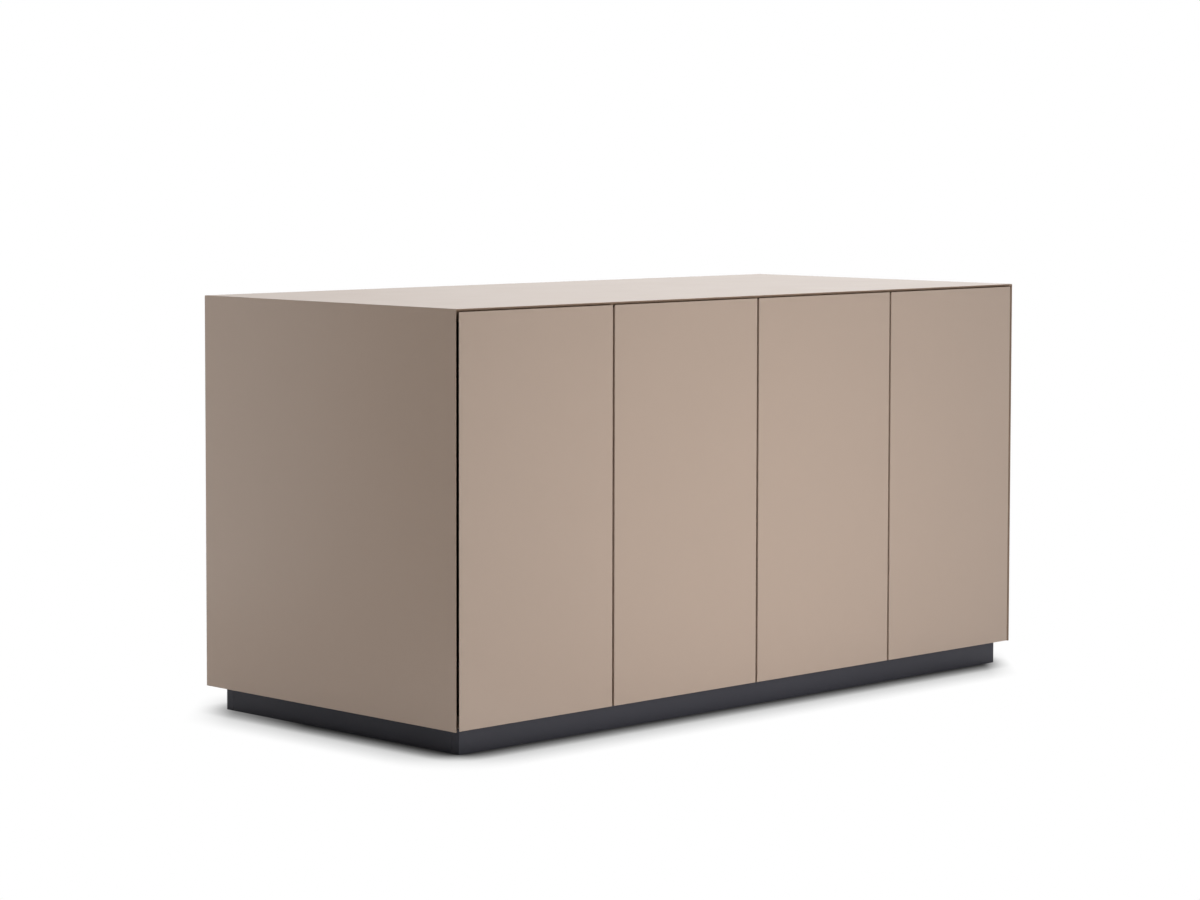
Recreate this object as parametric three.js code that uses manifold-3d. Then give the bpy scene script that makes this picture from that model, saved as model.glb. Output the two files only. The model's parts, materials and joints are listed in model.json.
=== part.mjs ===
// Office credenza: a mitred lacquered carcass on a recessed plinth, closed by four handleless doors.
// Millimetres. X runs to the right, Y to the back and Z up. The origin is on the floor, under the middle.
import * as THREE from "three";
import { mergeVertices } from "three/addons/utils/BufferGeometryUtils.js";
import Module from "manifold-3d";

const wasm = await Module();
wasm.setup();

// Overall sizes
const width = 1440;
const depth = 656;
const bodyHeight = 690;
const plinthHeight = 42;

// Boards
const boardThickness = 22;
const doorThickness = 22;
const partitionThickness = 19;
const partitionSetback = 3;
const shelfThickness = 19;
const backThickness = 12;
const backRebate = 10;

// Dark lines on the front, measured across the face
const sideReveal = 6.2;
const topReveal = 5;
const bottomReveal = 1;
const doorGap = 4.8;

// Fits between pieces
const mitreRelief = 0.2;
const fit = 0.3;
const pinFit = 0.35;
const openPivotFit = 0.6;

// Plinth frame, set in from the carcass
const plinthRail = 18;
const plinthFrontRecess = 19;
const plinthSideRecess = 23;
const plinthBackRecess = 28;

// Shelves on bearer rails
const shelfHeight = 330;
const shelfSetback = 40;
const shelfPlay = 1.5;
const bearerWidth = 14;
const bearerHeight = 18;
const bearerTaper = 6;
const bearerInset = 45;

// Concealed hinges, two on each door
const hingeEndDistance = 105;
const cupDiameter = 35;
const cupDepth = 12.5;
const cupWall = 1.8;
const cupFloor = 1.2;
const cupEdge = 5;
const flangeThickness = 1.2;
const flangeLap = 2;
const flangeEarReach = 27;
const flangeEarWidth = 18;
const pinDiameter = 3;
const cupPivotInset = 7;
const armPivotBack = 8.5;
const armPivotShift = 14;
const linkThickness = 5;
const swingLinkWidth = 8;
const carryLinkWidth = 7;
const carryCheek = 2.5;
const armWidth = 11;
const armCheek = 3.6;
const armLength = 74;
const slotSpare = 2;
const armSink = 1;
const plateThickness = 2.5;
const plateLength = 46;
const plateHeight = 42;
const plateCorner = 8;
const earHoleInset = 4.5;
const plateHoleInset = 5.5;
const screwHoleNarrow = 4;
const screwHoleWide = 6.4;
const fixingSlotBack = 16;
const fixingSlotLength = 14;
const adjusterBack = 38;
const armPocketWidth = 5.5;
const armPocketDepth = 3;

// Push latches, one on each door
const latchFromFreeEdge = 42;
const latchWidth = 18;
const latchHeight = 19;
const latchLength = 72;
const latchSetback = 3;
const plungerDiameter = 8;
const plungerDrop = 10;
const plungerLength = 60;
const plungerTipGap = 0.5;
const latchEndWall = 4;
const plungerNose = 2;
const latchFlangeWidth = 36;
const latchFlangeLength = 24;
const latchFlangeThickness = 2.2;
const latchFlangeCorner = 4;
const latchHoleInset = 4.8;

// Facets of a full circle, a pin, a screw hole, a bar's round end and a plate's round corner
const roundFacets = 20;
const pinFacets = 10;
const holeFacets = 8;
const barEndFacets = 5;
const cornerFacets = 3;
const weldDistance = 1e-4;

// Finishes
const finishes = {
  lacquer: { color: 0xb5a497, roughness: 0.55, metalness: 0 },
  plinth: { color: 0x3c3c40, roughness: 0.5, metalness: 0.2 },
  inner: { color: 0xa89a8d, roughness: 0.6, metalness: 0 },
  steel: { color: 0xb9bbbd, roughness: 0.35, metalness: 1 },
  housing: { color: 0x6f6a66, roughness: 0.55, metalness: 0 },
  plunger: { color: 0x4a4744, roughness: 0.45, metalness: 0 },
};

// Planes that the pieces share
const left = -width / 2;
const right = width / 2;
const front = -depth / 2;
const rear = depth / 2;
const floorLine = plinthHeight;
const topLine = plinthHeight + bodyHeight;
const innerLeft = left + boardThickness;
const innerRight = right - boardThickness;
const innerTop = topLine - boardThickness;
const innerBottom = floorLine + boardThickness;
const innerFront = front + boardThickness;
const backFront = rear - backThickness;
const doorBack = front + doorThickness;
const partitionLeft = -partitionThickness / 2;
const partitionRight = partitionThickness / 2;

const credenza = new THREE.Group();

// Solids

function solidOf(geometry) {
  const loose = geometry.index ? geometry.toNonIndexed() : geometry;
  const bare = new THREE.BufferGeometry();
  bare.setAttribute("position", loose.getAttribute("position"));
  const merged = mergeVertices(bare, weldDistance);
  const vertProperties = merged.getAttribute("position").array;
  const triVerts = new Uint32Array(merged.index.array);
  return new wasm.Manifold(new wasm.Mesh({ numProp: 3, vertProperties, triVerts }));
}

function geometryOf(solid) {
  const mesh = solid.getMesh();
  const geometry = new THREE.BufferGeometry();
  geometry.setAttribute("position", new THREE.BufferAttribute(mesh.vertProperties, 3));
  geometry.setIndex(new THREE.BufferAttribute(mesh.triVerts, 1));
  return geometry;
}

function addPiece(parent, name, solid, finish) {
  const geometry = geometryOf(solid).toNonIndexed();
  geometry.computeVertexNormals();
  const mesh = new THREE.Mesh(geometry, new THREE.MeshStandardMaterial(finishes[finish]));
  mesh.name = name;
  parent.add(mesh);
}

// A board between two flat rectangles that may differ in size, so that its edges can be mitred.
function board(axis, lowFace, highFace) {
  const geometry = new THREE.BoxGeometry(1, 1, 1);
  const points = geometry.getAttribute("position");
  const corner = new THREE.Vector3();
  for (let i = 0; i < points.count; i += 1) {
    corner.fromBufferAttribute(points, i);
    const face = corner[axis] < 0 ? lowFace : highFace;
    const place = ["x", "y", "z"].map((name) => face[name][corner[name] < 0 ? 0 : 1]);
    points.setXYZ(i, ...place);
  }
  return solidOf(geometry);
}

function block(x, y, z) {
  return board("z", { x, y, z: [z[0], z[0]] }, { x, y, z: [z[1], z[1]] });
}

function span(a, b) {
  return [Math.min(a, b), Math.max(a, b)];
}

// A flat shape drawn in X and Y, given height along Z.
function slab(shape, low, high) {
  const geometry = new THREE.ExtrudeGeometry(shape, {
    depth: high - low,
    bevelEnabled: false,
    curveSegments: barEndFacets,
  });
  geometry.translate(0, 0, low);
  return solidOf(geometry);
}

function upright(centre, diameter, low, high, facets) {
  const geometry = new THREE.CylinderGeometry(diameter / 2, diameter / 2, high - low, facets);
  geometry.rotateX(Math.PI / 2);
  geometry.translate(centre.x, centre.y, (low + high) / 2);
  return solidOf(geometry);
}

// A round piece turned about Y: each profile point is [radius, y].
function turned(profile, facets) {
  const points = profile.map(([radius, y]) => new THREE.Vector2(radius, y));
  return solidOf(new THREE.LatheGeometry(points, facets));
}

// A bar with round ends between two points.
function barShape(from, to, barWidth) {
  const radius = barWidth / 2;
  const heading = Math.atan2(to.y - from.y, to.x - from.x);
  const shape = new THREE.Shape();
  shape.absarc(to.x, to.y, radius, heading - Math.PI / 2, heading + Math.PI / 2, false);
  shape.absarc(from.x, from.y, radius, heading + Math.PI / 2, heading + Math.PI * 1.5, false);
  shape.closePath();
  return shape;
}

function roundedRectangle(lengthX, lengthY, corner) {
  const x = lengthX / 2 - corner;
  const y = lengthY / 2 - corner;
  const shape = new THREE.Shape();
  shape.absarc(x, y, corner, 0, Math.PI / 2, false);
  shape.absarc(-x, y, corner, Math.PI / 2, Math.PI, false);
  shape.absarc(-x, -y, corner, Math.PI, Math.PI * 1.5, false);
  shape.absarc(x, -y, corner, Math.PI * 1.5, Math.PI * 2, false);
  shape.closePath();
  return shape;
}

// Carcass: top and sides meet in mitres, and their front edges run out to a thin arris. The bottom
// stands between the sides, behind the doors.

const rebateTool = block(
  [innerLeft - backRebate, innerRight + backRebate],
  [backFront, rear + boardThickness],
  [innerBottom - backRebate, innerTop + backRebate],
);

function addSideBoard(name, outerX, innerX) {
  const outer = {
    x: [outerX, outerX],
    y: [front, rear],
    z: [floorLine, topLine - mitreRelief],
  };
  const inner = {
    x: [innerX, innerX],
    y: [innerFront, rear],
    z: [floorLine, innerTop - mitreRelief],
  };
  const faces = outerX < innerX ? [outer, inner] : [inner, outer];
  addPiece(credenza, name, board("x", ...faces).subtract(rebateTool), "lacquer");
}

const topBoard = board(
  "z",
  {
    x: [innerLeft + mitreRelief, innerRight - mitreRelief],
    y: [innerFront, rear],
    z: [innerTop, innerTop],
  },
  {
    x: [left + mitreRelief, right - mitreRelief],
    y: [front, rear],
    z: [topLine, topLine],
  },
);
const bottomBoard = block(
  [innerLeft + mitreRelief, innerRight - mitreRelief],
  [innerFront + partitionSetback, rear],
  [floorLine, innerBottom],
);

addPiece(credenza, "top_panel", topBoard.subtract(rebateTool), "lacquer");
addPiece(credenza, "bottom_panel", bottomBoard.subtract(rebateTool), "lacquer");
addSideBoard("left_side_panel", left, innerLeft);
addSideBoard("right_side_panel", right, innerRight);

const backPanel = block(
  [innerLeft - backRebate + fit, innerRight + backRebate - fit],
  [backFront + fit, rear],
  [innerBottom - backRebate + fit, innerTop + backRebate - fit],
);
addPiece(credenza, "back_panel", backPanel, "lacquer");

const partition = block(
  [partitionLeft, partitionRight],
  [doorBack + partitionSetback, backFront],
  [innerBottom, innerTop],
);
addPiece(credenza, "centre_partition", partition, "inner");

// Plinth: front and back rails run through, and the side rails stand between them.

const plinthX = [left + plinthSideRecess, right - plinthSideRecess];
const plinthY = [front + plinthFrontRecess, rear - plinthBackRecess];
const plinthZ = [0, floorLine];
const plinthInnerY = [plinthY[0] + plinthRail, plinthY[1] - plinthRail];
const plinthRails = {
  plinth_front_rail: [plinthX, [plinthY[0], plinthInnerY[0]]],
  plinth_back_rail: [plinthX, [plinthInnerY[1], plinthY[1]]],
  plinth_left_rail: [[plinthX[0], plinthX[0] + plinthRail], plinthInnerY],
  plinth_right_rail: [[plinthX[1] - plinthRail, plinthX[1]], plinthInnerY],
};
for (const [name, [x, y]] of Object.entries(plinthRails)) {
  addPiece(credenza, name, block(x, y, plinthZ), "plinth");
}

// Shelves: one on each side of the partition, lying on rails fixed to the uprights.

const shelfBottom = innerBottom + shelfHeight;
const shelfY = [doorBack + shelfSetback, backFront - shelfPlay];
const bearerY = [shelfY[0] + bearerInset, shelfY[1] - bearerInset];

// A rail with a sloping inner face, fixed to the upright at wallX and reaching to one hand.
function bearer(wallX, hand) {
  const section = (reach, z) => ({
    x: span(wallX, wallX + hand * reach),
    y: bearerY,
    z: [z, z],
  });
  const narrow = section(bearerWidth - bearerTaper, shelfBottom - bearerHeight);
  return board("z", narrow, section(bearerWidth, shelfBottom));
}

const bays = {
  left: { outer: innerLeft, inner: partitionLeft, hand: 1 },
  right: { outer: innerRight, inner: partitionRight, hand: -1 },
};
for (const [side, { outer, inner, hand }] of Object.entries(bays)) {
  const shelfX = span(outer + hand * shelfPlay, inner - hand * shelfPlay);
  const shelf = block(shelfX, shelfY, [shelfBottom, shelfBottom + shelfThickness]);
  addPiece(credenza, `${side}_shelf`, shelf, "inner");
  addPiece(credenza, `${side}_shelf_outer_bearer`, bearer(outer, hand), "inner");
  addPiece(credenza, `${side}_shelf_inner_bearer`, bearer(inner, -hand), "inner");
}

// Hinge: drawn about the door's front edge, with x along the closed door and y back from its face.
// Two equal pairs of pivots make a parallelogram, so the door turns about its own front edge.

const cupCentreX = doorThickness + cupEdge + cupDiameter / 2;
const cupPivot = new THREE.Vector2(cupCentreX, doorThickness - cupPivotInset);
const armPivot = new THREE.Vector2(cupCentreX - armPivotShift, doorThickness + armPivotBack);
const freePivot = cupPivot.clone().add(armPivot);
const linkHalf = linkThickness / 2;
const carryHalf = linkHalf + fit + carryCheek;
const armHalf = linkHalf + fit + armCheek;
const slotHalf = linkHalf + fit;
const linkAngle = Math.abs(armPivot.angle() - cupPivot.angle());
const armSlotReach = (armWidth + swingLinkWidth) / 2 + slotSpare;
const carrySlotReach = (carryLinkWidth + swingLinkWidth) / 2 / Math.sin(linkAngle) + slotSpare;

function pinHole(centre, clearance, half) {
  return upright(centre, pinDiameter + 2 * clearance, -half - fit, half + fit, pinFacets);
}

// A slot round a pivot, which leaves the pivot's pin standing across it.
function slotRound(pivot, reach) {
  const pin = upright(pivot, pinDiameter, -slotHalf - fit, slotHalf + fit, pinFacets);
  return upright(pivot, 2 * reach, -slotHalf, slotHalf, roundFacets).subtract(pin);
}

// A countersunk hole along Y, wide at its high end.
function screwHole(low, high) {
  return turned(
    [
      [0, low],
      [screwHoleNarrow / 2, low],
      [screwHoleWide / 2, high],
      [0, high],
    ],
    holeFacets,
  );
}

function hingeCup() {
  const outer = cupDiameter / 2;
  const inner = outer - cupWall;
  const bottom = doorThickness - cupDepth;
  const flangeFace = doorThickness + fit;
  const rimTop = flangeFace + flangeThickness;
  const cup = turned(
    [
      [0, bottom],
      [outer, bottom],
      [outer, flangeFace],
      [outer + flangeLap, flangeFace],
      [outer + flangeLap, rimTop],
      [0, rimTop],
    ],
    roundFacets,
  );
  const ears = new THREE.ExtrudeGeometry(
    roundedRectangle(flangeEarWidth, 2 * flangeEarReach, flangeEarWidth / 2),
    { depth: flangeThickness, bevelEnabled: false, curveSegments: cornerFacets },
  );
  ears.rotateX(-Math.PI / 2);
  ears.translate(0, flangeFace, 0);
  const mouth = turned(
    [
      [0, bottom + cupFloor],
      [inner, bottom + cupFloor],
      [inner, rimTop + fit],
      [0, rimTop + fit],
    ],
    roundFacets,
  );
  const shell = cup.add(solidOf(ears)).subtract(mouth);
  const pinReach = outer - cupWall / 2;
  const pin = upright({ x: 0, y: cupPivot.y }, pinDiameter, -pinReach, pinReach, pinFacets);
  const earHole = screwHole(flangeFace - fit, rimTop);
  const earHoleZ = flangeEarReach - earHoleInset;
  return shell
    .add(pin)
    .subtract(earHole.translate([0, 0, earHoleZ]))
    .subtract(earHole.translate([0, 0, -earHoleZ]))
    .translate([cupCentreX, 0, 0]);
}

// The link between the arm and the free pivot, which turns as the door turns.
function swingLink() {
  return slab(barShape(armPivot, freePivot, swingLinkWidth), -linkHalf, linkHalf)
    .subtract(pinHole(armPivot, pinFit, linkHalf))
    .subtract(pinHole(freePivot, pinFit, linkHalf));
}

// The forked link between the free pivot and the cup, which stays parallel to itself.
function carryLink() {
  return slab(barShape(freePivot, cupPivot, carryLinkWidth), -carryHalf, carryHalf)
    .subtract(slotRound(freePivot, carrySlotReach))
    .subtract(pinHole(cupPivot, openPivotFit, carryHalf));
}

// A pocket let into the arm's outer side, centred some way forward from the arm's back end.
function armPocket(armEnd, back, length) {
  const along = armEnd.clone().sub(armPivot).normalize();
  const outward = new THREE.Vector2(along.y, -along.x);
  const centre = armEnd.clone().addScaledVector(along, -back);
  centre.addScaledVector(outward, armWidth / 2 - armPocketDepth);
  const geometry = new THREE.ExtrudeGeometry(
    roundedRectangle(length, armPocketWidth, armPocketWidth / 2),
    { depth: armPocketDepth + fit, bevelEnabled: false, curveSegments: cornerFacets },
  );
  const turn = new THREE.Matrix4().makeBasis(
    new THREE.Vector3(along.x, along.y, 0),
    new THREE.Vector3(0, 0, 1),
    new THREE.Vector3(outward.x, outward.y, 0),
  );
  geometry.applyMatrix4(turn);
  geometry.translate(centre.x, centre.y, 0);
  return solidOf(geometry);
}

// The arm and its base plate on the upright, whose face lies at wallOffset from the door's edge.
function hingeArm(wallOffset) {
  const seat = wallOffset + fit;
  const plateFace = seat + plateThickness;
  const armEnd = new THREE.Vector2(plateFace - armSink + armWidth / 2, armPivot.y + armLength);
  const arm = slab(barShape(armEnd, armPivot, armWidth), -armHalf, armHalf).subtract(
    slotRound(armPivot, armSlotReach),
  );
  const plate = new THREE.ExtrudeGeometry(roundedRectangle(plateLength, plateHeight, plateCorner), {
    depth: plateThickness,
    bevelEnabled: false,
    curveSegments: cornerFacets,
  });
  plate.rotateX(Math.PI / 2);
  plate.rotateZ(Math.PI / 2);
  const plateCentre = armEnd.y + armWidth / 2 - plateLength / 2;
  plate.translate(seat, plateCentre, 0);
  const plateHole = screwHole(seat - fit, plateFace).rotate([0, 0, -90]);
  const plateHoleZ = plateHeight / 2 - plateHoleInset;
  return arm
    .add(solidOf(plate))
    .subtract(armPocket(armEnd, fixingSlotBack, fixingSlotLength))
    .subtract(armPocket(armEnd, adjusterBack, armPocketWidth))
    .subtract(plateHole.translate([0, plateCentre, plateHoleZ]))
    .subtract(plateHole.translate([0, plateCentre, -plateHoleZ]));
}

// Doors: mitred where they meet the top and sides, square at the foot and where they meet each other.

const doorZ = [floorLine + bottomReveal, topLine - topReveal];
const doorBackZ = [doorZ[0], doorZ[1] - doorThickness];
const hingeZ = { upper: doorZ[1] - hingeEndDistance, lower: doorZ[0] + hingeEndDistance };
const halfGap = doorGap / 2;
const quarter = width / 4;
const doors = {
  left_outer: { edge: left + sideReveal, free: -quarter - halfGap, hand: 1, wall: innerLeft },
  left_inner: { edge: -halfGap, free: -quarter + halfGap, hand: -1, wall: partitionLeft },
  right_inner: { edge: halfGap, free: quarter - halfGap, hand: 1, wall: partitionRight },
  right_outer: { edge: right - sideReveal, free: quarter + halfGap, hand: -1, wall: innerRight },
};

function doorLeaf({ edge, free, hand }) {
  const meetsSide = Math.abs(edge) > quarter;
  const backEdge = meetsSide ? edge + hand * doorThickness : edge;
  const leaf = board(
    "y",
    { x: span(edge, free), y: [front, front], z: doorZ },
    { x: span(backEdge, free), y: [doorBack, doorBack], z: doorBackZ },
  );
  const bores = Object.values(hingeZ).map((z) => {
    const radius = cupDiameter / 2 + fit;
    const bore = turned(
      [
        [0, doorBack - cupDepth - fit],
        [radius, doorBack - cupDepth - fit],
        [radius, doorBack + fit],
        [0, doorBack + fit],
      ],
      roundFacets,
    );
    return bore.translate([edge + hand * cupCentreX, 0, z]);
  });
  return bores.reduce((rest, bore) => rest.subtract(bore), leaf);
}

const cupSolid = hingeCup();
const swingSolid = swingLink();
const carrySolid = carryLink();

for (const [name, door] of Object.entries(doors)) {
  addPiece(credenza, `${name}_door`, doorLeaf(door), "lacquer");
  const armSolid = hingeArm((door.wall - door.edge) * door.hand);
  for (const [level, z] of Object.entries(hingeZ)) {
    const hinge = new THREE.Group();
    hinge.position.set(door.edge, front, z);
    hinge.rotation.y = door.hand > 0 ? 0 : Math.PI;
    credenza.add(hinge);
    addPiece(hinge, `${name}_${level}_hinge_cup`, cupSolid, "steel");
    addPiece(hinge, `${name}_${level}_hinge_arm`, armSolid, "steel");
    addPiece(hinge, `${name}_${level}_hinge_swing_link`, swingSolid, "steel");
    addPiece(hinge, `${name}_${level}_hinge_carry_link`, carrySolid, "steel");
  }
}

// Push latches: a housing under the top near each door's free edge, with a sprung plunger in its bore.

const plungerZ = innerTop - plungerDrop;
const latchFront = doorBack + latchSetback;
const boreEnd = latchFront + latchLength - latchEndWall;
const boreRadius = plungerDiameter / 2 + fit;

function latchHousing() {
  const half = latchWidth / 2;
  const seat = innerTop - fit - plungerZ;
  const shape = new THREE.Shape();
  shape.moveTo(-half, seat);
  shape.absarc(0, seat - latchHeight + half, half, Math.PI, Math.PI * 2, false);
  shape.lineTo(half, seat);
  shape.closePath();
  const geometry = new THREE.ExtrudeGeometry(shape, {
    depth: latchLength,
    bevelEnabled: false,
    curveSegments: roundFacets / 2,
  });
  geometry.rotateX(Math.PI / 2);
  geometry.translate(0, latchFront + latchLength, 0);
  const bore = turned(
    [
      [0, latchFront - fit],
      [boreRadius, latchFront - fit],
      [boreRadius, boreEnd],
      [0, boreEnd],
    ],
    roundFacets,
  );
  const flange = new THREE.ExtrudeGeometry(
    roundedRectangle(latchFlangeWidth, latchFlangeLength, latchFlangeCorner),
    { depth: latchFlangeThickness, bevelEnabled: false, curveSegments: cornerFacets },
  );
  const flangeY = latchFront + latchLength / 2;
  const flangeUnder = seat - latchFlangeThickness;
  flange.translate(0, flangeY, flangeUnder);
  const flangeHole = screwHole(-seat - fit, -flangeUnder).rotate([-90, 0, 0]);
  const flangeHoleX = latchFlangeWidth / 2 - latchHoleInset;
  return solidOf(geometry)
    .add(solidOf(flange))
    .subtract(bore)
    .subtract(flangeHole.translate([flangeHoleX, flangeY, 0]))
    .subtract(flangeHole.translate([-flangeHoleX, flangeY, 0]));
}

function latchPlunger() {
  const radius = plungerDiameter / 2;
  const tip = doorBack + plungerTipGap;
  const roundOff = plungerNose * (1 - Math.SQRT1_2);
  return turned(
    [
      [0, tip],
      [radius - plungerNose, tip],
      [radius - roundOff, tip + roundOff],
      [radius, tip + plungerNose],
      [radius, tip + plungerLength],
      [0, tip + plungerLength],
    ],
    roundFacets,
  );
}

const housingSolid = latchHousing();
const plungerSolid = latchPlunger();
for (const [name, { free, hand }] of Object.entries(doors)) {
  const latch = new THREE.Group();
  latch.position.set(free - hand * latchFromFreeEdge, 0, plungerZ);
  credenza.add(latch);
  addPiece(latch, `${name}_latch_housing`, housingSolid, "housing");
  addPiece(latch, `${name}_latch_plunger`, plungerSolid, "plunger");
}

export default credenza;
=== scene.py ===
import json
import math

import bmesh
import bpy
from mathutils import Matrix, Vector


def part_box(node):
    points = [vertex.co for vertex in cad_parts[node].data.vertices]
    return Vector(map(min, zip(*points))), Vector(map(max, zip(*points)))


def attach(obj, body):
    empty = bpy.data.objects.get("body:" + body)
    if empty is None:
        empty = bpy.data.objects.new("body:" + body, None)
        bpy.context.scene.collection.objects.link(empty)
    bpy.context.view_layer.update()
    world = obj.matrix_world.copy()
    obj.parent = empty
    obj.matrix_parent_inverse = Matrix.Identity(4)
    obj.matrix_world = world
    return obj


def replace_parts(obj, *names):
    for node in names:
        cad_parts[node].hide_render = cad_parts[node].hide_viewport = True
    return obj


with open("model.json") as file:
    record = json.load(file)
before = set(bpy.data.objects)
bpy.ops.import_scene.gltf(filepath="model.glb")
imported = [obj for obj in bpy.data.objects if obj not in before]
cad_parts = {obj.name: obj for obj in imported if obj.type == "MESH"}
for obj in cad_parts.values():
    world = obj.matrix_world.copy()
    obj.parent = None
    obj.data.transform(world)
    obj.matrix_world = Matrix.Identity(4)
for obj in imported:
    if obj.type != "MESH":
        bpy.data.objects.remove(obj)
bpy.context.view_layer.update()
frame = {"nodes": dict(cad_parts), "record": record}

nodes = frame["nodes"]
doorNames = ["left_outer", "left_inner", "right_inner", "right_outer"]
levels = ["upper", "lower"]
print("frame loaded:", len(nodes), "nodes")


# camera, placed from the corners of the carcass as the picture shows them

cameraView = {
    "place": (-4.278, -4.254, 0.996),
    "heading": 44.698,  # degrees from +Y towards +X
    "dip": 3.634,
    "roll": 0.114,
    "lens": 98.61,
    "sensor": 36,
    "shiftY": -0.08,
    "nearest": 0.1,
    "furthest": 200,
}


def makeCamera(view):
    lensData = bpy.data.cameras.new("camera")
    lensData.lens = view["lens"]
    lensData.sensor_width = view["sensor"]
    lensData.shift_y = view["shiftY"]
    lensData.clip_start = view["nearest"]
    lensData.clip_end = view["furthest"]
    camera = bpy.data.objects.new("camera", lensData)
    turn = Matrix.Rotation(math.radians(-view["heading"]), 4, "Z")
    tilt = Matrix.Rotation(math.radians(90 - view["dip"]), 4, "X")
    roll = Matrix.Rotation(math.radians(view["roll"]), 4, "Z")
    camera.matrix_world = Matrix.Translation(view["place"]) @ turn @ tilt @ roll
    bpy.context.scene.collection.objects.link(camera)
    bpy.context.scene.camera = camera


# shader maths: a wire is one socket, and operators on wires add Math nodes


class Wire:
    def __init__(self, tree, socket=None):
        self.tree = tree
        self.socket = socket

    def node(self, kind, settings=None, sockets=None, out=0):
        made = self.tree.nodes.new("ShaderNode" + kind)
        for key, value in (settings or {}).items():
            if key == "stops":
                ramp = made.color_ramp.elements
                for place, (position, colour) in enumerate(value):
                    stop = ramp[place] if place < len(ramp) else ramp.new(position)
                    stop.position = position
                    stop.color = colour
            else:
                setattr(made, key, value)
        for key, value in (sockets or {}).items():
            if isinstance(value, Wire):
                self.tree.links.new(value.socket, made.inputs[key])
            else:
                made.inputs[key].default_value = value
        return Wire(self.tree, made.outputs[out] if made.outputs else None)

    def maths(self, operation, first, second):
        return self.node("Math", {"operation": operation}, {0: first, 1: second})

    def __add__(self, other):
        return self.maths("ADD", self, other)

    __radd__ = __add__

    def __sub__(self, other):
        return self.maths("SUBTRACT", self, other)

    def __rsub__(self, other):
        return self.maths("SUBTRACT", other, self)

    def __mul__(self, other):
        return self.maths("MULTIPLY", self, other)

    __rmul__ = __mul__


def newMaterial(name):
    made = bpy.data.materials.new(name)
    made.use_nodes = True
    made.node_tree.nodes.clear()
    return made, Wire(made.node_tree)


def objectSpace(wire):
    return wire.node("TexCoord", out="Object")


def noise(wire, scale, detail=2.0, rough=0.5, stretch=None):
    space = objectSpace(wire)
    if stretch:
        space = wire.node("Mapping", sockets={"Vector": space, "Scale": stretch})
    sockets = {"Vector": space, "Scale": scale, "Detail": detail, "Roughness": rough}
    return wire.node("TexNoise", sockets=sockets)


def bump(wire, height):
    return wire.node("Bump", sockets={"Strength": 1.0, "Distance": 1.0, "Height": height})


def around(share, level, drift):
    return share * (2 * drift) + (level - drift)


def blendColours(wire, factor, first, second):
    settings = {"data_type": "RGBA"}  # its colours are sockets 6 and 7, and its result is output 2
    return wire.node("Mix", settings, {0: factor, 6: first, 7: second}, out=2)


def shade(colour, amount):
    return tuple(channel * amount for channel in colour) + (1.0,)


def driftingColour(wire, factor, colour, drift):
    return blendColours(wire, factor, shade(colour, 1 - drift), shade(colour, 1 + drift))


def closeMaterial(wire, surface):
    wire.node("OutputMaterial", sockets={"Surface": surface})


# satin lacquer: a sprayed coat with a faint peel, and a slow drift of tone over each board

lacquerLook = {
    "colour": (0.43, 0.325, 0.256),
    "drift": 0.02,
    "driftScale": 2.2,
    "roughness": 0.3,
    "roughnessDrift": 0.03,
    "roughnessScale": 11,
    "specular": 0.5,
    "peelScale": 420,
    "peelHeight": 0.000006,
    "grainScale": 2600,
    "grainHeight": 0.000002,
}


def lacquer(name, look):
    made, wire = newMaterial(name)
    tone = noise(wire, look["driftScale"], detail=3.0)
    sheen = noise(wire, look["roughnessScale"])
    peel = noise(wire, look["peelScale"], detail=1.0)
    grain = noise(wire, look["grainScale"], detail=1.0)
    height = peel * look["peelHeight"] + grain * look["grainHeight"]
    surface = wire.node(
        "BsdfPrincipled",
        sockets={
            "Base Color": driftingColour(wire, tone, look["colour"], look["drift"]),
            "Roughness": around(sheen, look["roughness"], look["roughnessDrift"]),
            "Specular IOR Level": look["specular"],
            "Normal": bump(wire, height),
        },
    )
    closeMaterial(wire, surface)
    return made


# metal parts of the hinges: bright nickel over pressed steel

steelLook = {
    "colour": (0.62, 0.61, 0.59),
    "drift": 0.06,
    "roughness": 0.3,
    "roughnessDrift": 0.1,
    "cloudScale": 60,
    "brushScale": 900,
    "brushRough": 0.6,
    "brushStretch": (1, 0.06, 1),
    "brushHeight": 0.000006,
}


def steel(name, look):
    made, wire = newMaterial(name)
    brush = noise(wire, look["brushScale"], rough=look["brushRough"], stretch=look["brushStretch"])
    cloud = noise(wire, look["cloudScale"])
    surface = wire.node(
        "BsdfPrincipled",
        sockets={
            "Base Color": driftingColour(wire, cloud, look["colour"], look["drift"]),
            "Metallic": 1.0,
            "Roughness": around(cloud, look["roughness"], look["roughnessDrift"]),
            "Normal": bump(wire, brush * look["brushHeight"]),
        },
    )
    closeMaterial(wire, surface)
    return made


# moulded plastic of the latches

housingLook = {
    "colour": (0.16, 0.145, 0.13),
    "drift": 0.08,
    "cloudScale": 40,
    "roughness": 0.5,
    "roughnessDrift": 0.05,
    "grainScale": 1800,
    "grainHeight": 0.000012,
}
plungerLook = dict(housingLook, colour=(0.06, 0.056, 0.052), roughness=0.42)


def plastic(name, look):
    made, wire = newMaterial(name)
    grain = noise(wire, look["grainScale"], detail=1.0)
    cloud = noise(wire, look["cloudScale"])
    surface = wire.node(
        "BsdfPrincipled",
        sockets={
            "Base Color": driftingColour(wire, cloud, look["colour"], look["drift"]),
            "Roughness": around(cloud, look["roughness"], look["roughnessDrift"]),
            "Normal": bump(wire, grain * look["grainHeight"]),
        },
    )
    closeMaterial(wire, surface)
    return made


# the same lacquer in other tones, and the finish of each slot

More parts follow.
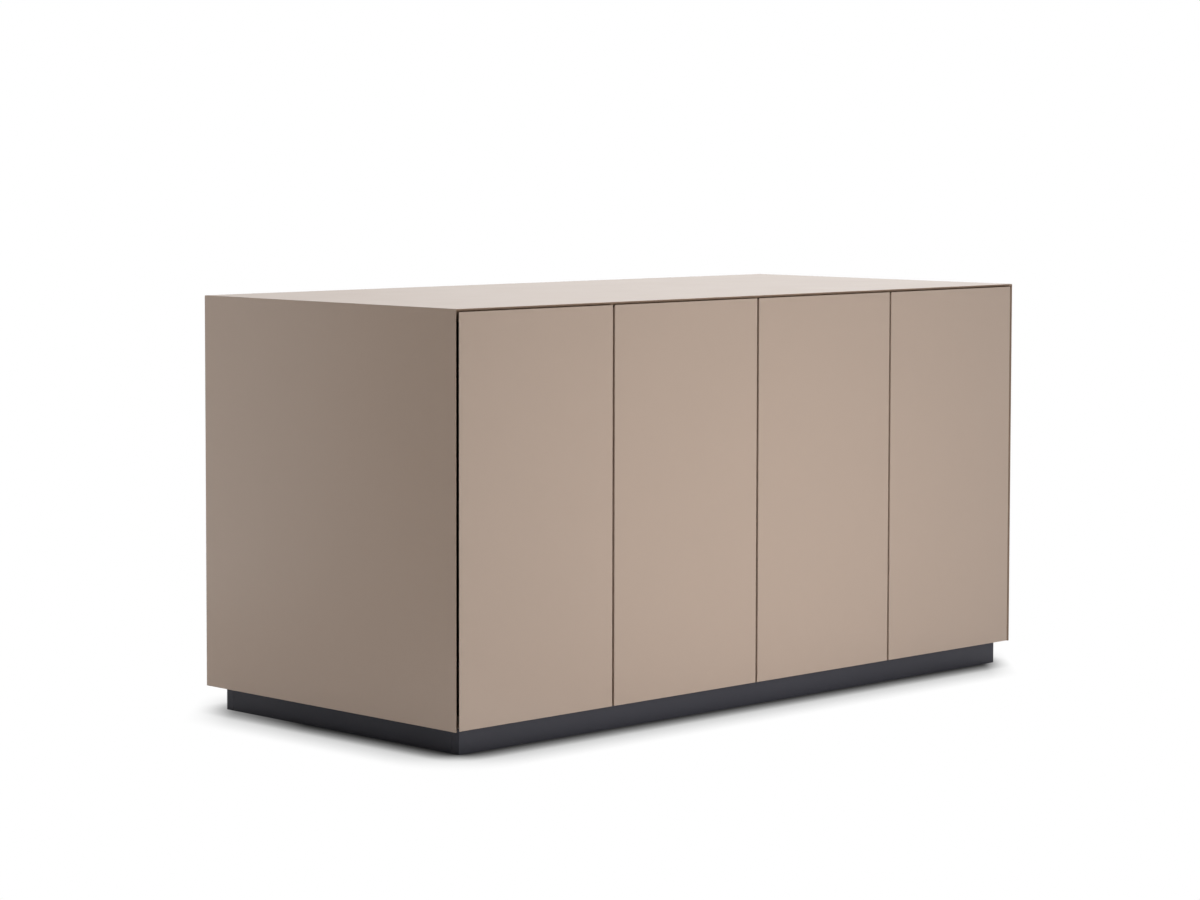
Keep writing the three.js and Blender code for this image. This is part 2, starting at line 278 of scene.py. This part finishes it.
innerLook = dict(lacquerLook, colour=(0.37, 0.29, 0.24), roughness=0.5)
# the mitre lacquer is darker than the faces: painted shade, standing for the shade that falls in the gaps
# between boards
mitreShadeLook = dict(lacquerLook, colour=(0.245, 0.166, 0.115), drift=0.08, roughness=0.55)
plinthLook = dict(lacquerLook, colour=(0.048, 0.048, 0.06), drift=0.1, roughness=0.5, specular=0.2)

finishes = {
    "lacquer": lacquer("taupeLacquer", lacquerLook),
    "mitre": lacquer("mitrePaintedShade", mitreShadeLook),
    "inner": lacquer("innerLacquer", innerLook),
    "plinth": lacquer("anthraciteLacquer", plinthLook),
    "hinge_steel": steel("nickelSteel", steelLook),
    "latch_housing": plastic("housingPlastic", housingLook),
    "latch_plunger": plastic("plungerPlastic", plungerLook),
}

slotOf = {entry["node"]: entry["material_slot"] for entry in frame["record"]["subparts"]}
bodies = frame["record"]["behaviour"]["bodies"]
bodyOf = {node: body for body, members in bodies.items() for node in members}
print("finishes set:", len(finishes))


# pieces: a finished shape becomes an object that rides on a body

meshLook = {"weld": 0.00001, "flatAngle": 1, "sharpAngle": 50}  # metres and degrees


def smoothFaces(piece):
    mesh = piece.data
    if "custom_normal" in mesh.attributes:
        mesh.attributes.remove(mesh.attributes["custom_normal"])
    mesh.shade_smooth()
    mesh.set_sharp_from_angle(angle=math.radians(meshLook["sharpAngle"]))
    weighted = piece.modifiers.new("weighted", "WEIGHTED_NORMAL")
    weighted.keep_sharp = True


def makePiece(name, shape, paints, body):
    mesh = bpy.data.meshes.new(name)
    shape.to_mesh(mesh)
    shape.free()
    for paint in paints:
        mesh.materials.append(paint)
    piece = bpy.data.objects.new(name, mesh)
    bpy.context.scene.collection.objects.link(piece)
    smoothFaces(piece)
    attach(piece, body)
    return piece


def easedCopy(node, look):
    shape = bmesh.new()
    shape.from_mesh(nodes[node].data)
    bmesh.ops.remove_doubles(shape, verts=shape.verts, dist=meshLook["weld"])
    flat = math.radians(meshLook["flatAngle"])
    bmesh.ops.dissolve_limit(shape, angle_limit=flat, verts=shape.verts, edges=shape.edges)
    corners = [edge for edge in shape.edges if edge.calc_face_angle(0) > math.radians(look["angle"])]
    bmesh.ops.bevel(
        shape,
        geom=corners,
        offset=look["width"],
        offset_type="OFFSET",
        affect="EDGES",
        segments=look["segments"],
        profile=0.5,
        material=-1,
        clamp_overlap=True,
    )
    return shape


# boards: every arris is eased a little, as sanded lacquer edges are, and the front mitres are painted
# darker, as painted shade for the dark gaps between the boards

arris = {"width": 0.0006, "segments": 2, "angle": 30}
mitreFace = {"slant": math.sqrt(0.5), "slack": 0.02, "leastArea": 0.002}
boards = [node for node in nodes if slotOf[node] in ("lacquer", "inner", "plinth")]

for node in boards:
    shape = easedCopy(node, arris)
    for face in shape.faces:
        # faces slanted at 45 degrees are the mitres; they take the darker lacquer as painted shade for
        # the gaps
        tilted = abs(abs(face.normal.y) - mitreFace["slant"]) < mitreFace["slack"]
        face.material_index = int(tilted and face.calc_area() > mitreFace["leastArea"])
    paints = [finishes[slotOf[node]], finishes["mitre"]]
    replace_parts(makePiece(node + "_eased", shape, paints, bodyOf[node]), node)
print("boards eased:", len(boards))


# hinges and latches: pressed and moulded edges are rounded, and turned faces are smoothed

pressed = {"width": 0.00025, "segments": 2, "angle": 40}
fittings = [node for node in nodes if node not in boards]

for node in fittings:
    shape = easedCopy(node, pressed)
    piece = makePiece(node + "_rounded", shape, [finishes[slotOf[node]]], bodyOf[node])
    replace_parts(piece, node)
print("fittings rounded:", len(fittings))


# screws: a domed head with a lobed drive, turned about Z and then set on its seat

screwLook = {
    "radius": 0.0034,
    "height": 0.0012,
    "drive": 0.0014,
    "driveDepth": 0.0008,
    "lobe": 0.18,
    "lobes": 6,
    # the head from its crown down to its foot, as shares of its radius and height
    "head": [(0.62, 0.96), (0.88, 0.7), (1, 0.25), (1, -0.3)],
    "steps": 24,
    "weld": 0.000001,
}


def addScrew(group, look, seat, scale=1.0):
    radius = look["radius"] * scale
    height = look["height"] * scale
    drive = look["drive"] * scale
    floor = height - look["driveDepth"] * scale
    outline = [(0, floor), (drive, floor), (drive, height)]
    outline += [(radius * out, height * up) for out, up in look["head"]]
    shape = bmesh.new()
    points = [shape.verts.new((out, 0, up)) for out, up in outline]
    edges = [shape.edges.new(pair) for pair in zip(points, points[1:])]
    bmesh.ops.spin(
        shape,
        geom=points + edges,
        cent=(0, 0, 0),
        axis=(0, 0, 1),
        angle=2 * math.pi,
        steps=look["steps"],
        use_merge=True,
        use_duplicate=False,
    )
    bmesh.ops.remove_doubles(shape, verts=shape.verts, dist=look["weld"])
    for point in shape.verts:
        if look["weld"] < point.co.xy.length < drive + look["weld"]:
            turn = math.atan2(point.co.y, point.co.x)
            point.co.xy *= 1 + look["lobe"] * math.cos(look["lobes"] * turn)
    rim = [edge for edge in shape.edges if edge.is_boundary]
    bmesh.ops.holes_fill(shape, edges=rim, sides=0)
    bmesh.ops.recalc_face_normals(shape, faces=shape.faces)
    bmesh.ops.transform(shape, matrix=seat, verts=shape.verts)
    mesh = bpy.data.meshes.new("screw")
    shape.to_mesh(mesh)
    shape.free()
    group.from_mesh(mesh)
    bpy.data.meshes.remove(mesh)


def seatOn(place, outward):
    return Matrix.Translation(place) @ Vector(outward).to_track_quat("Z", "Y").to_matrix().to_4x4()


# hinge screws: two on each cup's ears, two through each base plate, and two that set the arm

hingeLook = {
    # places from the door's hinge edge inwards and from its front face back
    "cupAcross": 0.0445,
    "flangeFace": 0.0235,
    "earReach": 0.0225,
    "plateClearance": 0.0003,
    "plateFace": 0.0028,
    "plateBack": 0.087,
    "plateReach": 0.0155,
    "plateScrewScale": 1.1,
    # the arm runs from its end on the plate to the pivot, with two screws along it
    "pivot": (0.0305, 0.0305),
    "armEnd": 0.1045,
    "armHalf": 0.0055,
    "armSink": 0.001,
    "armTurns": (0.016, 0.038),
    "armTurnSink": 0.0015,
    "armScrewScale": 0.78,
}

for name in doorNames:
    low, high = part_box(f"{name}_door")
    hand = 1 if name in ("left_outer", "right_inner") else -1
    edge = low.x if hand > 0 else high.x
    front = low.y
    cupScrews = bmesh.new()
    armScrews = bmesh.new()
    for level in levels:
        cupLow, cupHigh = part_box(f"{name}_{level}_hinge_cup")
        armLow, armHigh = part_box(f"{name}_{level}_hinge_arm")
        middle = (cupLow.z + cupHigh.z) / 2
        wall = (armLow.x if hand > 0 else armHigh.x) - hand * hingeLook["plateClearance"]
        for side in (1, -1):
            height = middle + side * hingeLook["earReach"]
            ear = (edge + hand * hingeLook["cupAcross"], front + hingeLook["flangeFace"], height)
            addScrew(cupScrews, screwLook, seatOn(ear, (0, 1, 0)))
            height = middle + side * hingeLook["plateReach"]
            plate = (wall + hand * hingeLook["plateFace"], front + hingeLook["plateBack"], height)
            addScrew(armScrews, screwLook, seatOn(plate, (hand, 0, 0)), hingeLook["plateScrewScale"])
        start = abs(wall - edge) + hingeLook["plateFace"] - hingeLook["armSink"] + hingeLook["armHalf"]
        end = Vector((start, hingeLook["armEnd"]))
        along = (Vector(hingeLook["pivot"]) - end).normalized()
        outward = Vector((-along.y, along.x))
        for reach in hingeLook["armTurns"]:
            spot = end + along * reach + outward * (hingeLook["armHalf"] - hingeLook["armTurnSink"])
            place = (edge + hand * spot.x, front + spot.y, middle)
            seat = seatOn(place, (hand * outward.x, outward.y, 0))
            addScrew(armScrews, screwLook, seat, hingeLook["armScrewScale"])
    makePiece(f"{name}_cup_screws", cupScrews, [finishes["hinge_steel"]], f"{name}_leaf")
    makePiece(f"{name}_arm_screws", armScrews, [finishes["hinge_steel"]], "carcass")
print("hinge screws set")


# strike plates: a thin pressed plate under the top edge of each door back, where the latch pushes

strikeLook = {
    "width": 0.014,
    "height": 0.024,
    "thick": 0.0004,
    "round": 0.006,
    "roundSteps": 6,
    "drop": 0.0082,  # its middle below the plunger's, so that the top stays on the flat of the door
    "screwDrop": 0.0055,
    "screwScale": 0.75,
}


def strikePlate(look, place):
    shape = bmesh.new()
    bmesh.ops.create_grid(shape, x_segments=1, y_segments=1, size=0.5)
    bmesh.ops.scale(shape, vec=(look["width"], look["height"], 1), verts=shape.verts)
    bmesh.ops.bevel(
        shape,
        geom=list(shape.verts),
        offset=look["round"],
        offset_type="OFFSET",
        affect="VERTICES",
        segments=look["roundSteps"],
        profile=0.5,
        material=-1,
        clamp_overlap=True,
    )
    grown = bmesh.ops.extrude_face_region(shape, geom=list(shape.faces))["geom"]
    raised = [part for part in grown if isinstance(part, bmesh.types.BMVert)]
    bmesh.ops.translate(shape, vec=(0, 0, look["thick"]), verts=raised)
    bmesh.ops.recalc_face_normals(shape, faces=shape.faces)
    bmesh.ops.transform(shape, matrix=seatOn(place, (0, 1, 0)), verts=shape.verts)
    return shape


for name in doorNames:
    low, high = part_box(f"{name}_latch_plunger")
    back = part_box(f"{name}_door")[1].y
    centre = (low + high) / 2
    place = Vector((centre.x, back, centre.z - strikeLook["drop"]))
    shape = strikePlate(strikeLook, place)
    place += Vector((0, strikeLook["thick"], -strikeLook["screwDrop"]))
    addScrew(shape, screwLook, seatOn(place, (0, 1, 0)), strikeLook["screwScale"])
    makePiece(f"{name}_strike_plate", shape, [finishes["hinge_steel"]], f"{name}_leaf")
print("strike plates set")


# latch, shelf and back screws

boardScrews = {
    "latchInset": 0.0048,
    "latchFlange": 0.0022,
    "bearerEnds": 0.06,
    "bearerCount": 3,
    "bearerDrop": 0.0075,
    "bearerTaper": 0.006,  # how far the slanted face leans back over the bearer's height
    "backInset": 0.02,
    "backAcross": 6,
    "backUp": 5,
    "sink": 0.0014,
    "boreRadius": 0.0045,
    "boreSides": 24,
}


def counterbore(piece, seats, look):
    drill = bmesh.new()
    for seat in seats:
        bmesh.ops.create_cone(
            drill,
            cap_ends=True,
            segments=look["boreSides"],
            radius1=look["boreRadius"],
            radius2=look["boreRadius"],
            depth=2 * look["sink"],
            matrix=seat @ Matrix.Translation((0, 0, look["sink"])),
        )
    mesh = bpy.data.meshes.new("drill")
    drill.to_mesh(mesh)
    drill.free()
    tool = bpy.data.objects.new("drill", mesh)
    bpy.context.scene.collection.objects.link(tool)
    piece.modifiers.clear()
    cut = piece.modifiers.new("bores", "BOOLEAN")
    cut.object = tool
    cut.solver = "EXACT"
    ready = piece.evaluated_get(bpy.context.evaluated_depsgraph_get())
    piece.data = bpy.data.meshes.new_from_object(ready)
    piece.modifiers.clear()
    smoothFaces(piece)
    bpy.data.objects.remove(tool)


def evenly(first, last, count):
    return [first + (last - first) * step / (count - 1) for step in range(count)]


latchScrews = bmesh.new()
for name in doorNames:
    low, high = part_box(f"{name}_latch_housing")
    for across in (low.x + boardScrews["latchInset"], high.x - boardScrews["latchInset"]):
        spot = (across, (low.y + high.y) / 2, high.z - boardScrews["latchFlange"])
        addScrew(latchScrews, screwLook, seatOn(spot, (0, 0, -1)))
makePiece("latch_screws", latchScrews, [finishes["hinge_steel"]], "carcass")

bearerScrews = bmesh.new()
for side in ("left", "right"):
    for end in ("outer", "inner"):
        low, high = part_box(f"{side}_shelf_{end}_bearer")
        inward = 1 if (side == "left") == (end == "outer") else -1
        face = high.x if inward > 0 else low.x
        lean = boardScrews["bearerTaper"] / (high.z - low.z)
        drop = boardScrews["bearerDrop"]
        reach = boardScrews["bearerEnds"]
        for along in evenly(low.y + reach, high.y - reach, boardScrews["bearerCount"]):
            spot = (face - inward * lean * drop, along, high.z - drop)
            addScrew(bearerScrews, screwLook, seatOn(spot, (inward, 0, -lean)))
makePiece("bearer_screws", bearerScrews, [finishes["hinge_steel"]], "carcass")

low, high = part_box("back_panel")
inset = boardScrews["backInset"]
acrosses = evenly(low.x + inset, high.x - inset, boardScrews["backAcross"])
ups = evenly(low.z + inset, high.z - inset, boardScrews["backUp"])
spots = [(across, up) for across in acrosses for up in (ups[0], ups[-1])]
spots += [(across, up) for across in (acrosses[0], acrosses[-1]) for up in ups[1:-1]]
seats = [seatOn((across, high.y - boardScrews["sink"], up), (0, 1, 0)) for across, up in spots]
backScrews = bmesh.new()
for seat in seats:
    addScrew(backScrews, screwLook, seat)
makePiece("back_screws", backScrews, [finishes["hinge_steel"]], "carcass")
counterbore(bpy.data.objects["back_panel_eased"], seats, boardScrews)
print("board screws set")


# stage: pale floor and soft light

stageLook = {
    "floorReach": 60,
    "floorColour": (0.93, 0.93, 0.93),
    "shadowReaches": (0.13, 0.06),  # a wide soft shadow and a dark line at the foot
    "shadowPowers": (1.2, 2.0),
    "shadowSamples": 16,
    # along the diagonal of the floor, the shadow thins out past the two far ends of the foot
    "shadowSpan": {-0.77: 0.0, -0.69: 0.8, -0.55: 1.0, 0.69: 1.0, 0.745: 0.0},
    "skyStrength": 0.1,
    # what polished faces mirror: the floor by its place along X, the sky by its direction along X
    "floorGlow": {-2.4: 0.0, -1.5: 0.4, -1.0: 0.65, -0.75: 0.6, -0.62: 1.9, -0.4: 1.9, -0.15: 1.32},
    "skyGlow": {-0.5: 0.0, 0.61: 0.9, 0.68: 1.2, 0.78: 1.3},
}
lampLooks = {
    "overhead": {"kind": "SUN", "from": (0, 0, 1), "strength": 2.6, "angle": 40},
    "front": {
        "kind": "AREA",
        "place": (0, -1.5, 0.31),
        "aim": (0, 0, 0.31),
        "power": 6.6,
        "size": 0.8,
        "mirrored": False,
    },
    "rear": {
        "kind": "AREA",
        "place": (-1.23, 1.47, 0.4),
        "aim": (-0.6, 0.7, 0.4),
        "power": 4.0,
        "size": 1.2,
        "mirrored": True,
    },
}


def glowAlong(wire, across, stops):
    first, last = min(stops), max(stops)
    most = max(stops.values())
    marks = []
    for place, level in stops.items():
        marks.append(((place - first) / (last - first), (level / most,) * 3 + (1,)))
    share = wire.node("MapRange", sockets={"Value": across, "From Min": first, "From Max": last})
    return wire.node("ValToRGB", {"stops": marks}, {"Fac": share}) * most


def mirroredRay(wire):
    return wire.node("LightPath", out="Is Glossy Ray") + wire.node("LightPath", out="Is Transmission Ray")


def makeFloor(look):
    shape = bmesh.new()
    # one great triangle, because the seam across a square would show as a faint line
    bmesh.ops.create_circle(shape, cap_ends=True, segments=3, radius=look["floorReach"])
    mesh = bpy.data.meshes.new("floor")
    shape.to_mesh(mesh)
    shape.free()
    floor = bpy.data.objects.new("floor", mesh)
    bpy.context.scene.collection.objects.link(floor)
    made, wire = newMaterial("paleFloor")
    seen = wire.node("LightPath", out="Is Camera Ray")
    mirrored = mirroredRay(wire)
    place = objectSpace(wire)
    across = wire.node("SeparateXYZ", sockets={0: place}, out="X")
    deep = wire.node("SeparateXYZ", sockets={0: place}, out="Y")
    paint = wire.node("BsdfDiffuse", sockets={"Color": look["floorColour"] + (1.0,)})
    lit = 1.0
    for reach, power in zip(look["shadowReaches"], look["shadowPowers"]):
        settings = {"samples": look["shadowSamples"]}
        nearby = wire.node("AmbientOcclusion", settings, {"Distance": reach}, out="AO")
        lit = lit * wire.maths("POWER", nearby, power)
    span = glowAlong(wire, (across - deep) * math.sqrt(0.5), look["shadowSpan"])
    shadow = (1 - lit) * span
    strength = (seen + mirrored * glowAlong(wire, across, look["floorGlow"])) * (1 - shadow)
    white = wire.node("Emission", sockets={"Strength": strength})
    shown = wire.maths("MAXIMUM", seen, mirrored)
    closeMaterial(wire, wire.node("MixShader", sockets={0: shown, 1: paint, 2: white}))
    mesh.materials.append(made)


def makeSky(look):
    world = bpy.data.worlds.new("studio")
    world.use_nodes = True
    world.node_tree.nodes.clear()
    wire = Wire(world.node_tree)
    seen = wire.node("LightPath", out="Is Camera Ray")
    mirrored = mirroredRay(wire)
    across = wire.node("SeparateXYZ", sockets={0: wire.node("TexCoord", out="Generated")}, out="X")
    plain = 1 - wire.maths("MAXIMUM", seen, mirrored)
    strength = seen + mirrored * glowAlong(wire, across, look["skyGlow"]) + plain * look["skyStrength"]
    sky = wire.node("Background", sockets={"Color": (1, 1, 1, 1), "Strength": strength})
    wire.node("OutputWorld", sockets={"Surface": sky})
    bpy.context.scene.world = world


def makeLamp(name, look):
    data = bpy.data.lights.new(name, look["kind"])
    lamp = bpy.data.objects.new(name, data)
    if look["kind"] == "SUN":
        towards = Vector(look["from"])
        data.energy = look["strength"]
        data.angle = math.radians(look["angle"])
    else:
        towards = Vector(look["place"]) - Vector(look["aim"])
        data.energy = look["power"]
        data.size = look["size"]
        lamp.visible_glossy = look["mirrored"]
        lamp.location = look["place"]
    lamp.rotation_euler = towards.to_track_quat("Z", "Y").to_euler()
    bpy.context.scene.collection.objects.link(lamp)


makeCamera(cameraView)
makeFloor(stageLook)
makeSky(stageLook)
for name, look in lampLooks.items():
    makeLamp(name, look)
bpy.context.scene.view_settings.view_transform = "Standard"
print("stage ready:", len(lampLooks), "lamps")
